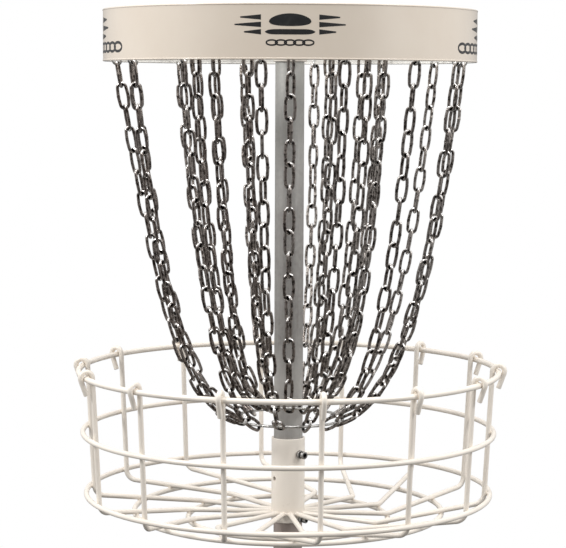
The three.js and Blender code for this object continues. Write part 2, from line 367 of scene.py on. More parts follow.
def box_bar(shape, start, end, half_width, half_height, edge):
    """A flat bar with rounded long edges between two points."""
    start, end = np.asarray(start), np.asarray(end)
    forward = unit(end - start)
    side = unit(np.cross(UP, forward))
    top = np.cross(forward, side)
    signs = ((-1, -1), (1, -1), (1, 1), (-1, 1))
    outline = filleted([(x * half_width, y * half_height) for x, y in signs], edge)
    section = np.array([x * side + y * top for x, y in outline])
    rings = np.array([start + section, end + section])
    points, faces = loft(rings, closed=False)
    return shape.add(points, faces)


def make_object(name, shape):
    mesh = bpy.data.meshes.new(name)
    mesh.from_pydata(shape.points, [], shape.faces)
    for attribute, values in (("painted_highlight_and_shadow", shape.painted_highlight_and_shadow), ("tint", shape.tint)):
        layer = mesh.attributes.new(attribute, "FLOAT", "POINT")
        layer.data.foreach_set("value", np.array(values, np.float32))
    obj = bpy.data.objects.new(name, mesh)
    bpy.context.scene.collection.objects.link(obj)
    return obj


def smooth_faces(mesh, angle=math.radians(40)):
    mesh.polygons.foreach_set("use_smooth", np.ones(len(mesh.polygons), bool))
    mesh.set_sharp_from_angle(angle=angle)
    mesh.update()


def piece(name, shape, slot, body=POLE_BODY, replaces=(), cutters=()):
    """Makes a finished piece that rides on a body, less the cutters' shapes."""
    obj = make_object(name, shape)
    for cutter in cutters:
        tool = make_object(name + "_cutter", cutter)
        modifier = obj.modifiers.new("cut", "BOOLEAN")
        modifier.operation = "DIFFERENCE"
        modifier.solver = "EXACT"
        modifier.object = tool
        evaluated = obj.evaluated_get(bpy.context.evaluated_depsgraph_get())
        result = bpy.data.meshes.new_from_object(evaluated)
        obj.modifiers.clear()
        obj.data = result
        bpy.data.objects.remove(tool)
    smooth_faces(obj.data)
    obj.data.materials.clear()
    obj.data.materials.append(FINISHES[slot])
    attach(obj, body)
    if replaces:
        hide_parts(*replaces)
    return obj


def welded_ring(name, node, weld_azimuth, count, swell, slot, body=POLE_BODY):
    """A wire ring in place of a CAD one, thicker by swell at its butt weld."""
    radius, z, ring_wire = ring_size(node)
    radii = np.full(count, ring_wire)
    radii[[0, 1, 2]] *= swell
    shape = wire(Shape(), circle(radius, weld_azimuth, z, count), radii, closed=True, plane=UP)
    piece(name, shape, slot, body, [node])


# ---- Materials ----


class Graph:
    """Shader nodes of a material or a room, with short ways to add them."""

    def __init__(self, owner):
        owner.use_nodes = True
        self.nodes = owner.node_tree.nodes
        self.links = owner.node_tree.links

    def put(self, value, socket):
        """Links a socket to an input, or sets the input to a value."""
        if isinstance(value, bpy.types.NodeSocket):
            self.links.new(value, socket)
        else:
            socket.default_value = value

    def node(self, kind, settings=None, **inputs):
        node = self.nodes.new("ShaderNode" + kind)
        for name, value in (settings or {}).items():
            setattr(node, name, value)
        for name, value in inputs.items():
            self.put(value, node.inputs[name.replace("_", " ")])
        return node

    def math(self, operation, first, second=0.0):
        node = self.node("Math", {"operation": operation})
        for socket, value in zip(node.inputs, (first, second)):
            self.put(value, socket)
        return node.outputs[0]

    def scaled(self, vector, scale):
        node = self.node("VectorMath", {"operation": "MULTIPLY"}, Vector=vector)
        node.inputs[1].default_value = scale
        return node.outputs[0]

    def length(self, vector):
        return self.node("VectorMath", {"operation": "LENGTH"}, Vector=vector).outputs["Value"]


class Finish(Graph):
    """A node material on the object's own coordinates."""

    def __init__(self, name, roughness, metallic=0.0):
        self.material = bpy.data.materials.new(name)
        super().__init__(self.material)
        self.shader = self.nodes["Principled BSDF"]
        self.shader.inputs["Roughness"].default_value = roughness
        self.shader.inputs["Metallic"].default_value = metallic
        self.place = self.node("TexCoord").outputs["Object"]

    def noise(self, size, detail=2.0, stretch=(1, 1, 1)):
        """Noise with features of about a size in metres, as a factor from 0 to 1."""
        place = self.scaled(self.place, stretch)
        noise = self.node("TexNoise", Vector=place, Scale=1 / size, Detail=detail)
        return noise.outputs["Factor"] if "Factor" in noise.outputs else noise.outputs["Fac"]

    def attribute(self, name):
        return self.node("Attribute", {"attribute_name": name}).outputs["Fac"]

    def ranged(self, factor, low, high, start=0.0, end=1.0):
        """A factor that goes from low to high as another goes from start to end."""
        node = self.node("MapRange", Value=factor, From_Min=start, From_Max=end, To_Min=low, To_Max=high)
        return node.outputs[0]

    def mixed(self, factor, first, second):
        """A colour between two colours or sockets."""
        node = self.node("Mix", {"data_type": "RGBA"})
        self.put(factor, node.inputs[0])
        colours = [socket for socket in node.inputs if socket.type == "RGBA"]
        for socket, colour in zip(colours, (first, second)):
            self.put((*colour, 1) if isinstance(colour, tuple) else colour, socket)
        return [socket for socket in node.outputs if socket.type == "RGBA"][0]

    def colour(self, socket):
        self.put(socket, self.shader.inputs["Base Color"])

    def roughness(self, socket):
        self.put(socket, self.shader.inputs["Roughness"])

    def bump(self, height, depth, strength=1.0):
        node = self.node("Bump", Height=height, Strength=strength, Distance=depth)
        self.put(node.outputs["Normal"], self.shader.inputs["Normal"])


def band_radius():
    return turned_size("deflector_band")[1] - 0.8 * MM


COATS = {
    "powder_coat": ((0.89, 0.825, 0.74), (0.86, 0.785, 0.695)),
    "band_coat": ((0.74, 0.65, 0.545), (0.72, 0.625, 0.52)),
}
# The band's inside is painted lighter than its coat: a painted light.
PAINTED_LIGHT_INSIDE = (0.92, 0.9, 0.85)
ZINC = ((0.28, 0.265, 0.25), (0.44, 0.425, 0.405))
# Paler zinc towards the top of the pole.
PALER_TOP_ZINC = (0.62, 0.63, 0.6)
# A painted light: a band of lighter zinc round the pole where the chains' shade falls.
PAINTED_LIGHT_BAND_ZINC = (0.62, 0.6, 0.57)
# Browner zinc just below the hub.
BROWNER_ZINC = (0.4, 0.325, 0.29)
# Heights over which the pole turns paler towards the top.
PALER_TOP_HEIGHTS = (1.08, 1.34)
# Height of the middle of the band of painted light.
PAINTED_LIGHT_BAND_HEIGHT = 782 * MM
# Height of the browner zinc below the hub.
BROWNER_HEIGHT = 535 * MM
# Dark and light link steel, mixed by tint: partly at random, partly a painted light on the chains towards
# one side.
LINK_STEEL = ((0.145, 0.112, 0.096), (0.4, 0.375, 0.35))
# Near-black patches on the links: dirt and painted shade.
LINK_GRIME_AND_PAINTED_SHADE = (0.025, 0.018, 0.014)
LINK_BLOOM = (0.42, 0.385, 0.36)
# A painted highlight on the outside of the links' bows.
LINK_PAINTED_HIGHLIGHT = (0.95, 0.93, 0.91)
# A near-black painted shadow in the crooks of the links' bows.
LINK_PAINTED_SHADOW = (0.01, 0.009, 0.008)
BRIGHT_ZINC = ((0.34, 0.33, 0.31), (0.66, 0.65, 0.63))
# Dark dirt and painted shade on the screws: in the threads, the hex socket and where nut and head meet other
# parts.
SCREW_GRIME_AND_PAINTED_SHADE = (0.03, 0.026, 0.024)


def coat(name, roughness, peel, gloss=0.15, inside=None):
    """Powder coat: orange-peel bump, faint clouds, a gloss and, for the band, an inside painted lighter, a
    painted light.
    """
    finish = Finish(name, roughness)
    cloud = finish.noise(60 * MM, 3.0)
    colour, shade = COATS[name]
    tone = finish.mixed(finish.ranged(cloud, 0, 1, 0.3, 0.7), shade, colour)
    # For the band, a painted light: its inside is painted lighter.
    if inside:
        reach = finish.length(finish.scaled(finish.place, (1, 1, 0)))
        skin = band_radius() - BAND_SHEET
        tone = finish.mixed(finish.ranged(reach, 1, 0, skin, skin + 0.6 * MM), tone, inside)
    finish.colour(tone)
    finish.roughness(finish.ranged(finish.noise(12 * MM), roughness - 0.05, roughness + 0.07, 0.3, 0.7))
    finish.bump(finish.noise(peel, 1.0), 0.03 * MM, 0.5)
    finish.shader.inputs["Coat Weight"].default_value = gloss
    finish.shader.inputs["Coat Roughness"].default_value = 0.2
    return finish.material


def galvanised():
    """Zinc with spangle and drawn streaks: paler towards the top, a painted light in a lighter band where
    the chains gather, browner just below the hub.
    """
    finish = Finish("galvanised_steel", 0.55, 0.55)
    cells = finish.node("TexVoronoi", {"feature": "F1"}, Vector=finish.place, Scale=1 / (6 * MM))
    spangle = finish.node("SeparateColor", Color=cells.outputs["Color"]).outputs[0]
    streak = finish.noise(2.2 * MM, 2.0, (1, 1, 0.03))
    patch = finish.noise(70 * MM, 4.0)
    spots = finish.math("MULTIPLY", spangle, 0.12)
    mottle = finish.math("ADD", spots, finish.math("MULTIPLY", patch, 0.55))
    tone = finish.math("ADD", mottle, finish.math("MULTIPLY", streak, 0.33))
    zinc = finish.mixed(finish.ranged(tone, 0, 1, 0.25, 0.75), *ZINC)
    height = finish.node("SeparateXYZ", Vector=finish.place).outputs[2]
    # Paler towards the top.
    paler_top = finish.ranged(height, 0, 0.5, *PALER_TOP_HEIGHTS)
    colour = finish.mixed(paler_top, zinc, PALER_TOP_ZINC)
    # The first zone is painted light, lighter zinc where the chains' shade falls; the second is browner zinc
    # just below the hub.
    zones = ((PAINTED_LIGHT_BAND_HEIGHT, 0.75, 0.02, 0.08, PAINTED_LIGHT_BAND_ZINC), (BROWNER_HEIGHT, 0.8, 0.03, 0.1, BROWNER_ZINC))
    for middle, strength, near, far, tint in zones:
        away = finish.math("ABSOLUTE", finish.math("SUBTRACT", height, middle))
        colour = finish.mixed(finish.ranged(away, strength, 0, near, far), colour, tint)
    finish.colour(colour)
    finish.roughness(finish.ranged(tone, 0.66, 0.5, 0.25, 0.75))
    finish.bump(streak, 0.03 * MM, 0.4)
    return finish.material


def chain_plating():
    """Dark zinc with near-black patches of dirt and painted shade; a painted highlight, glossier too, where
    the point's painted light is above zero, and a black painted shadow where it is below.
    """
    finish = Finish("chain_steel", 0.3, 1.0)
    grime_and_painted_shade = finish.noise(7 * MM, 2.0)
    tint = finish.attribute("tint")
    wear_and_painted_light = finish.attribute("painted_highlight_and_shadow")
    dark = finish.mixed(tint, *LINK_STEEL)
    # Near-black patches: dirt and painted shade.
    grimy_and_shaded = finish.mixed(finish.ranged(grime_and_painted_shade, 0.92, 0, 0.35, 0.52), dark, LINK_GRIME_AND_PAINTED_SHADE)
    plated = finish.mixed(finish.ranged(grime_and_painted_shade, 0, 0.45, 0.5, 0.8), grimy_and_shaded, LINK_BLOOM)
    # A painted highlight where the point's painted light is above zero.
    with_painted_highlight = finish.mixed(finish.ranged(wear_and_painted_light, 0, 1, 0.0, 0.35), plated, LINK_PAINTED_HIGHLIGHT)
    # A near-black painted shadow where it is below zero.
    finish.colour(finish.mixed(finish.ranged(wear_and_painted_light, 0, 0.97, -0.02, -0.25), with_painted_highlight, LINK_PAINTED_SHADOW))
    dull = finish.ranged(grime_and_painted_shade, 0.2, 0.36, 0.3, 0.7)
    finish.roughness(finish.math("SUBTRACT", dull, finish.ranged(wear_and_painted_light, 0, 0.08, 0.1, 0.6)))
    finish.bump(finish.noise(2.5 * MM, 1.0), 0.03 * MM, 0.3)
    return finish.material


def bright_plating():
    """Bright zinc with fine scratches, a little bloom, and dark dirt and painted shade where tint is above
    zero.
    """
    finish = Finish("bright_steel", 0.25, 0.95)
    bloom = finish.noise(6 * MM, 3.0)
    zinc = finish.mixed(finish.ranged(bloom, 0, 1, 0.3, 0.7), *BRIGHT_ZINC)
    finish.colour(finish.mixed(finish.attribute("tint"), zinc, SCREW_GRIME_AND_PAINTED_SHADE))
    finish.roughness(finish.ranged(bloom, 0.2, 0.36, 0.3, 0.7))
    finish.bump(finish.noise(0.8 * MM, 2.0), 0.02 * MM, 0.4)
    return finish.material


def black_plastic():
    """Moulded plastic with a fine spark-eroded grain."""
    finish = Finish("black_plastic", 0.55)
    grain = finish.noise(0.9 * MM, 3.0)
    finish.colour(finish.mixed(finish.noise(30 * MM), (0.024, 0.024, 0.026), (0.04, 0.04, 0.043)))
    finish.roughness(finish.ranged(grain, 0.48, 0.64, 0.3, 0.7))
    finish.bump(grain, 0.06 * MM, 0.6)
    return finish.material


def marking_ink():
    """Black print on the band, slightly uneven where it wears."""
    finish = Finish("marking_ink", 0.42)
    wear_and_painted_light = finish.noise(9 * MM, 4.0)
    faded = finish.ranged(wear_and_painted_light, 0, 1, 0.55, 0.8)
    finish.colour(finish.mixed(faded, (0.01, 0.01, 0.011), (0.025, 0.024, 0.024)))
    finish.roughness(finish.ranged(wear_and_painted_light, 0.36, 0.5, 0.3, 0.7))
    return finish.material


FINISHES = {
    "powder_coat": coat("powder_coat", 0.32, 1.6 * MM),
    "band_coat": coat("band_coat", 0.36, 2.2 * MM, 0.8, PAINTED_LIGHT_INSIDE),
    "galvanised_steel": galvanised(),
    "chain_steel": chain_plating(),
    "bright_steel": bright_plating(),
    "black_plastic": black_plastic(),
}

# ---- Pole, cap, hub and ground fitting ----


def pole():
    inner, outer, bottom, top = turned_size("pole")
    seam = math.radians(150)

    def weld_seam(azimuth):
        return 0.08 * MM * math.exp(-(((azimuth - seam) * outer / (1.5 * MM)) ** 2))

    shape = tube(inner, outer, bottom, top, 0.8 * MM, 120, weld_seam)
    piece("pole_tube", shape, "galvanised_steel", replaces=["pole"])


def cap():
    _, outer, bottom, top = turned_size("pole_cap")
    plug = turned_size("pole")[0] - 0.75 * MM
    lip = turned_size("pole")[3] + GAP
    edge = [
        (0.2 * MM, bottom),
        (plug - 1 * MM, bottom),
        (plug, bottom + 2 * MM),
        (plug, lip),
        (outer, lip),
        (outer, lip + 2.2 * MM),
        (outer - 3 * MM, top - 0.8 * MM),
        (CAP_FLAT_RADIUS, top),
        (0.2 * MM, top),
    ]
    shape = turned(Shape(), filleted(edge, 1 * MM), even_turns(96))
    piece("pole_cap_plug", shape, "black_plastic", replaces=["pole_cap"])


def radial_cylinder(azimuth, z, radius, end=40 * MM):
    """A round cutter along a radius of the pole, from inside the pole's wall outwards."""
    path = [polar(20 * MM, azimuth, z), polar(end, azimuth, z)]
    return wire(Shape(), path, radius, sides=32)


def screw_hole(node, radius=M6_HOLE_RADIUS, end=40 * MM):
    azimuth, z, _, _ = screw_size(node)
    return radial_cylinder(azimuth, z, radius, end)


def hub():
    holes = [screw_hole("hub_screw_upper", M8_HOLE_RADIUS), screw_hole("hub_screw_lower")]
    holes.append(radial_cylinder(*HUB_HOLE))
    shape = tube(*turned_size("basket_hub"), 0.9 * MM)
    piece("hub_sleeve", shape, "powder_coat", replaces=["basket_hub"], cutters=holes)


def ear(shape, inner, bottom):
    """A flat padlock ear with a rounded end, reaching out along +X."""
    half = EAR_WIDTH / 2
    outline = [(inner, -half), (EAR_REACH, -half), (EAR_REACH, half), (inner, half)]
    rounded = filleted(outline, 9 * MM, 8)
    layers = [(0.5 * MM, 0.0), (0.0, 0.5 * MM), (0.0, EAR_THICKNESS - 0.5 * MM), (0.5 * MM, EAR_THICKNESS)]
    centre = np.array([(inner + EAR_REACH) / 2, 0.0])
    rings = []
    for inset, height in layers:
        scale = 1 - inset / half
        rings.append([(*(centre + scale * (point - centre)), bottom + height) for point in rounded])
    points, faces = loft(np.array(rings), closed=False)
    return shape.add(points, faces)


def ear_hole(bottom):
    x, radius = EAR_HOLE
    path = [np.array([x, 0, bottom - 10 * MM]), np.array([x, 0, bottom + 15 * MM])]
    return wire(Shape(), path, radius, sides=40)


def padlock_ear(name, body, radius, bottom, weld_z, seed):
    """An ear on a ring of a radius, with its padlock hole and its run of weld."""
    shape = ear(Shape(), radius - 0.6 * MM, bottom)
    piece(name, shape, "galvanised_steel", body, cutters=[ear_hole(bottom)])
    half_turn = math.asin(EAR_WIDTH / 2 / radius)
    beads = Shape()
    noise = random.Random(seed)
    count = max(3, int(2 * half_turn * radius / (1.6 * MM)))
    for azimuth in np.linspace(EAR_AZIMUTH - half_turn, EAR_AZIMUTH + half_turn, count):
        weld(beads, polar(radius, azimuth, weld_z), azimuth, (1.7, 1.8, 1.8), 0.1, noise)
    piece(name + "_weld", beads, "galvanised_steel", body)


def ground_fitting():
    _, _, bottom, top = turned_size("ground_sleeve")
    shape = tube(*SOCKET_RADII, bottom, top, 0.8 * MM)
    piece("socket_tube", shape, "galvanised_steel", "ground_sleeve", ["ground_sleeve"])
    ear_bottom = top - EAR_THICKNESS
    padlock_ear("socket_ear", "ground_sleeve", SOCKET_RADII[1], ear_bottom, ear_bottom, 5)

    _, _, foot, crest = turned_size("lock_collar")
    hole = screw_hole("lock_collar_screw", end=50 * MM)
    shape = tube(*COLLAR_RADII, foot, crest, 1.5 * MM)
    piece("collar_ring", shape, "galvanised_steel", replaces=["lock_collar"], cutters=[hole])
    padlock_ear("collar_ear", POLE_BODY, COLLAR_RADII[1], foot, foot + EAR_THICKNESS, 6)


# ---- Screws ----


def hexagon_reach(turn, flat):
    """Distance to a hexagon's side at a turn, for a distance across the flats of twice flat."""
    return flat / math.cos((turn + math.pi / 6) % (math.pi / 3) - math.pi / 6)


def stacked(shape, layers, azimuth, z, sides=72, grime_and_painted_shade=0.0):
    """A solid along a radius of the pole, from layers of a distance and reach(turn), with a darkening on
    each for dirt and painted shade.
    """
    axes = np.array([around(azimuth), UP, outward(azimuth)])
    turns = even_turns(sides)
    rings = []
    for distance, reach in layers:
        local = [(reach(turn) * math.cos(turn), reach(turn) * math.sin(turn), distance) for turn in turns]
        rings.append(np.array(local) @ axes + z * UP)
    points, faces = loft(np.array(rings), closed=False)
    return shape.add(points, faces, 0.0, np.repeat(np.broadcast_to(grime_and_painted_shade, len(layers)), sides))


def round_reach(radius):
    return lambda turn: radius


def hex_reach(flat, limit=math.inf):
    return lambda turn: min(hexagon_reach(turn, flat), limit)


def screw(name, node, wall, size=M6_SCREW):
    """A clamp screw with its nut: threaded shank, chamfered hex nut and a head with a hex socket."""
    thread, flat, head = size
    azimuth, z, tip, top = screw_size(node)
    shape = Shape()
    pitch = thread / 3
    shank = [(tip, round_reach(thread - 0.8 * MM))]
    distance = tip + 0.8 * MM
    while distance < top - HEAD_LENGTH:
        shank.append((distance, round_reach(thread - 0.05 * MM)))
        shank.append((distance + pitch / 2, round_reach(thread - 0.45 * pitch)))
        distance += pitch
    shank.append((top - 5 * MM, round_reach(thread - 0.1 * MM)))
    # The threaded shank is darkened: dirt and painted shade in its threads.
    stacked(shape, shank, azimuth, z, 24, 0.9)

    corner = flat / math.cos(math.pi / 6)
    foot = wall + GAP
    nut = [
        (foot, hex_reach(flat, flat * 0.98)),
        (foot + 0.6 * MM, hex_reach(flat, corner)),
        (foot + 4.6 * MM, hex_reach(flat, corner)),
        (foot + 5.2 * MM, hex_reach(flat, flat * 0.98)),
    ]
    # The nut is darkest at its foot against the wall: dirt and painted shade.
    stacked(shape, nut, azimuth, z, grime_and_painted_shade=(1.0, 0.5, 0.15, 0.6))

    socket = head / 2
    under = top - HEAD_LENGTH
    layers = [
        (under, round_reach(head - 0.4 * MM)),
        (under + 0.4 * MM, round_reach(head)),
        (top - 0.8 * MM, round_reach(head)),
        (top - 0.25 * MM, round_reach(head - 0.3 * MM)),
        (top, round_reach(head - 0.9 * MM)),
        (top, hex_reach(socket + 0.2 * MM)),
        (top - 0.5 * MM, hex_reach(socket - 0.1 * MM)),
        (top - 3.5 * MM, hex_reach(socket - 0.1 * MM)),
    ]
    # The head is dark underneath and down in its hex socket: dirt and painted shade.
    stacked(shape, layers, azimuth, z, grime_and_painted_shade=(1.0, 0.7, 0.1, 0.0, 0.3, 0.9, 1.0, 1.0))
    piece(name, shape, "bright_steel", replaces=[node])


def screws():
    hub_wall = turned_size("basket_hub")[1]
    screw("hub_clamp_screw_upper", "hub_screw_upper", hub_wall, M8_SCREW)
    screw("hub_clamp_screw_lower", "hub_screw_lower", hub_wall)
    screw("rack_clamp_screw", "rack_screw", hub_wall)
    screw("collar_clamp_screw", "lock_collar_screw", COLLAR_RADII[1])


# ---- Deflector band ----


def seam_swell(azimuth):
    """The rolled sheet is a little proud along its ground and coated seam."""
    turn = (azimuth - BAND_SEAM_AZIMUTH + math.pi) % TAU - math.pi
    away = math.hypot(turn, math.radians(1.2)) - math.radians(1.2)
    return SEAM_PROUD * math.exp(-away / math.radians(5)) - SEAM_PROUD


def band_azimuths():
    """Even steps round the band, with fine ones across the lap seam."""
    half = math.radians(3)
    fine = [BAND_SEAM_AZIMUTH + half * step / 24 for step in range(-24, 25)]
    kept = [azimuth for azimuth in even_turns(336) if abs(azimuth - BAND_SEAM_AZIMUTH) > half * 1.05]
    return sorted(kept + fine)


def bead(radius, z, start, steps=10):
    """The rolled edge of the band: a round bead about its own centre."""
    turns = [start + math.radians(300) * step / steps for step in range(steps + 1)]
    return [(radius + BAND_BEAD * math.cos(turn), z + BAND_BEAD * math.sin(turn)) for turn in turns]


def deflector_band():
    radius = band_radius()
    _, _, bottom, top = turned_size("deflector_band")
    middle = radius - BAND_SHEET / 2
    outline = [
        *bead(middle, top - BAND_BEAD, math.radians(-60)),
        *bead(middle, bottom + BAND_BEAD, math.radians(120)),
    ]
    shape = turned(Shape(), outline, band_azimuths(), seam_swell)
    piece("band_sheet", shape, "band_coat", replaces=["deflector_band"])


def on_band(across, height, proud):
    """A point on the band's outside, by distance round it, height and how far it stands proud."""
    azimuth = across / band_radius()
    return polar(band_radius() + proud + seam_swell(azimuth), azimuth, height)


def stroke(shape, path, widths, closed=False):
    """A thin printed stroke along (distance round the band, height) points."""
    path = np.asarray(path, float)
    tangents = tangents_of(path, closed)
    sides = np.stack([-tangents[:, 1], tangents[:, 0]], axis=1)
    half = np.broadcast_to(widths, len(path))[:, None] / 2
    left = path + half * sides
    right = path - half * sides
    rings = []
    for here, there in zip(left, right):
        corners = ((here, -PRINT_DEPTH), (here, PRINT_PROUD), (there, PRINT_PROUD), (there, -PRINT_DEPTH))
        rings.append([on_band(*point, proud) for point, proud in corners])
    points, faces = loft(np.array(rings), closed)
    return shape.add(points, faces)


def flying_disc_mark(shape, across, height, scale):
    """A flying disc seen from the side, with tapering lines on both sides."""
    unit_size = MM * scale
    steps = np.linspace(-1, 1, 41)
    dome = [(across + 32 * unit_size * x, height + (5 + 3 * (1 - x * x)) * unit_size) for x in steps]
    stroke(shape, dome, [max(19 * unit_size * math.sqrt(1 - x * x * 0.999), 0.3 * MM) for x in steps])
    rim = [(across + 38 * unit_size * x, height - 10 * unit_size) for x in steps]
    stroke(shape, rim, [8 * unit_size * (1 - x**8 * 0.9) for x in steps])
    shares = np.linspace(0, 1, 15)
    for side in (-1, 1):
        for row, end in enumerate((76, 85, 70)):
            z = height + (12 - 11 * row) * unit_size
            path = [(across + side * (44 + (end - 44) * t) * unit_size, z) for t in shares]
            stroke(shape, path, [(8 - 6 * t) * unit_size for t in shares])


def chain_mark(shape, across, height, links, scale):
    """A row of oval links."""
    unit_size = MM * scale
    turns = even_turns(36)
    for index in range(links):
        centre = across + (index - (links - 1) / 2) * 25 * unit_size
        path = [(centre + 15 * unit_size * math.cos(t), height + 7 * unit_size * math.sin(t)) for t in turns]
        stroke(shape, path, 4.4 * unit_size, closed=True)


def markings():
    _, _, bottom, top = turned_size("deflector_band")
    middle = (bottom + top) / 2
    quarter = band_radius() * math.radians(90)
    FINISHES["marking_ink"] = marking_ink()
    shape = Shape()
    for side in (0, 2):
        flying_disc_mark(shape, side * quarter, middle + 9 * MM, 1.0)
        chain_mark(shape, side * quarter, middle - 17 * MM, 5, 0.55)
    for side in (-1, 1):
        flying_disc_mark(shape, side * quarter, middle + 9 * MM, 1.2)
        chain_mark(shape, side * quarter, middle - 21 * MM, 13, 1.0)
    obj = make_object("band_markings", shape)
    smooth_faces(obj.data)
    obj.data.materials.append(FINISHES["marking_ink"])
    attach(obj, POLE_BODY)


# ---- Chain rack ----


def chain_joints(tier):
    """Azimuth, radius and height of each top hook of a tier, and the names of its bodies."""
    hooks = []
    for joint in frame["joints"]:
        if joint["child"].startswith(tier + "_chain_") and joint["child"] != tier + "_chain_ring":
            x, y, z = joint["pos_m"]
            hooks.append((joint["child"], math.atan2(x, -y), math.hypot(x, y), z))
    return hooks


def chain_rack():
    noise = random.Random(11)
    inner, _, bottom, top = turned_size("chain_rack")
    wall = turned_size("basket_hub")[1]
    sheet = band_radius() - BAND_SHEET
    shape = tube(inner, wall, bottom, top, 0.9 * MM)
    piece("rack_sleeve", shape, "powder_coat", replaces=["chain_rack"], cutters=[screw_hole("rack_screw")])

    arms = Shape()
    welds = Shape()
    low, high = RACK_ARM_SPAN
    for index in range(RACK_ARMS):
        turn = RACK_ARM_AZIMUTH + TAU * index / RACK_ARMS
        middle = (low + high) / 2
        start = polar(wall - 0.4 * MM, turn, middle)
        end = polar(sheet - 1.2 * MM, turn, middle)
        box_bar(arms, start, end, RACK_ARM_THICKNESS / 2, (high - low) / 2, 0.8 * MM)
        for radius in (wall, sheet - 1.0 * MM):
            for side in (-1, 1):
                for height in np.linspace(low, high, 8):
                    centre = polar(radius, turn, height) + side * 2.2 * MM * around(turn)
                    weld(welds, centre, turn, (1.6, 1.5, 1.5), 0.12, noise)
    piece("rack_arms", arms, "powder_coat")
    piece("rack_arm_welds", welds, "powder_coat")

    rings = Shape()
    for tier in ("outer", "inner"):
        _, turn, radius, height = chain_joints(tier)[0]
        wire(rings, circle(radius, turn, height, 224), RACK_RING_WIRE_RADIUS, closed=True, plane=UP)
    piece("rack_hook_rings", rings, "powder_coat")


# ---- Chains ----


class HangingCurve:
    """The curve that a chain hangs in, by distance from its ring up to its hook."""

    def __init__(self, ring_radius, ring_z, hook_radius, hook_z, length):
        self.ring_radius = ring_radius
        self.ring_z = ring_z
        reach = hook_radius - ring_radius
        drop = hook_z - ring_z
        slack = math.sqrt(length**2 - drop**2)
        low, high = reach / 20, reach * 20
        for _ in range(60):
            middle = (low + high) / 2
            if 2 * middle * math.sinh(reach / (2 * middle)) > slack:
                low = middle
            else:
                high = middle
        self.scale = (low + high) / 2
        self.vertex = reach / 2 - self.scale * math.atanh(drop / length)

    def at(self, distance):
        """Radius and height at a distance from the ring."""
        scale, vertex = self.scale, self.vertex
        along = vertex + scale * math.asinh(distance / scale + math.sinh(-vertex / scale))
        rise = scale * (math.cosh((along - vertex) / scale) - math.cosh(vertex / scale))
        return np.array([self.ring_radius + along, self.ring_z + rise])


def link_outline(half_length, half_width, bow):
    """Points of an oval link's centreline, and how near each is to the middle of a bow."""
    straight = half_length - bow
    points = []
    painted_highlight_and_shadow = []
    for side in (1, -1):
        for share in (-0.8, -0.4, -0.12, 0.0, 0.12, 0.4, 0.8):
            belly = bow + (half_width - bow) * (1 - share**2)
            points.append((side * belly, side * share * straight))
            painted_highlight_and_shadow.append(0.0)
        for step in range(15):
            turn = math.pi * step / 14
            points.append((side * bow * math.cos(turn), side * (straight + bow * math.sin(turn))))
            # Weight of the painted highlight and shadow, greatest at the middle of each bow.
            painted_highlight_and_shadow.append(math.sin(turn) ** 1.8)
    return np.array(points), np.array(painted_highlight_and_shadow)


LINK_HALF_LENGTH = LINK_PITCH / 2 + LINK_WIRE_RADIUS
LINK_OUTLINE, LINK_PAINTED_LIGHT_WEIGHT = link_outline(LINK_HALF_LENGTH, LINK_HALF_WIDTH, LINK_BOW)
# Which point of the outline is the butt weld.
LINK_WELD = 3


def link_radii(noise):
    """Wire radius round a link, with the butt weld's bulge on one leg."""
    radii = np.full(len(LINK_OUTLINE), LINK_WIRE_RADIUS)
    radii[LINK_WELD] *= 1.14 + noise.uniform(-0.03, 0.05)
    return radii


def add_link(shape, centre, lengthwise, widthwise, painted_side_light, noise):
    """One link: a painted highlight on the outside of its bows and a near-black painted shadow in their
    crooks.
    """
    normal = unit(np.cross(lengthwise, widthwise))
    path = centre + LINK_OUTLINE[:, :1] * widthwise + LINK_OUTLINE[:, 1:] * lengthwise
    rings = wire_rings(path, link_radii(noise), 12, True, -normal)
    points, faces = loft(rings, closed=True)
    # Above zero on the bows' outside, a painted highlight; below zero in their crooks, a painted shadow.
    facing_out = ((rings - path[:, None]) @ lengthwise) / LINK_WIRE_RADIUS * np.sign(LINK_OUTLINE[:, 1:])
    painted_highlight_and_shadow = LINK_PAINTED_LIGHT_WEIGHT[:, None] * (facing_out - 0.08) * noise.uniform(0.8, 1.1)
    shape.add(points, faces, painted_highlight_and_shadow.reshape(-1), 0.1 + 0.4 * painted_side_light + 0.3 * noise.random())


def s_hook(shape, centre_top, centre_foot, side):
    """An S hook between two eyes; side is the unit vector across it in its own plane."""
    down = unit(centre_foot - centre_top)
    apart = np.linalg.norm(centre_foot - centre_top)
    lean = math.asin((HOOK_TOP_EYE + HOOK_LINK_EYE) / apart)
    path = []
    for turn in np.linspace(math.radians(200), -lean, 26):
        path.append(centre_top + HOOK_TOP_EYE * (math.cos(turn) * side - math.sin(turn) * down))
    for turn in np.linspace(math.pi - lean, math.radians(375), 26):
        path.append(centre_foot + HOOK_LINK_EYE * (math.cos(turn) * side - math.sin(turn) * down))
    path, radii = cut_ends(path, HOOK_WIRE_RADIUS, 0.5 * MM)
    wire(shape, path, radii, 14, plane=np.cross(down, side))


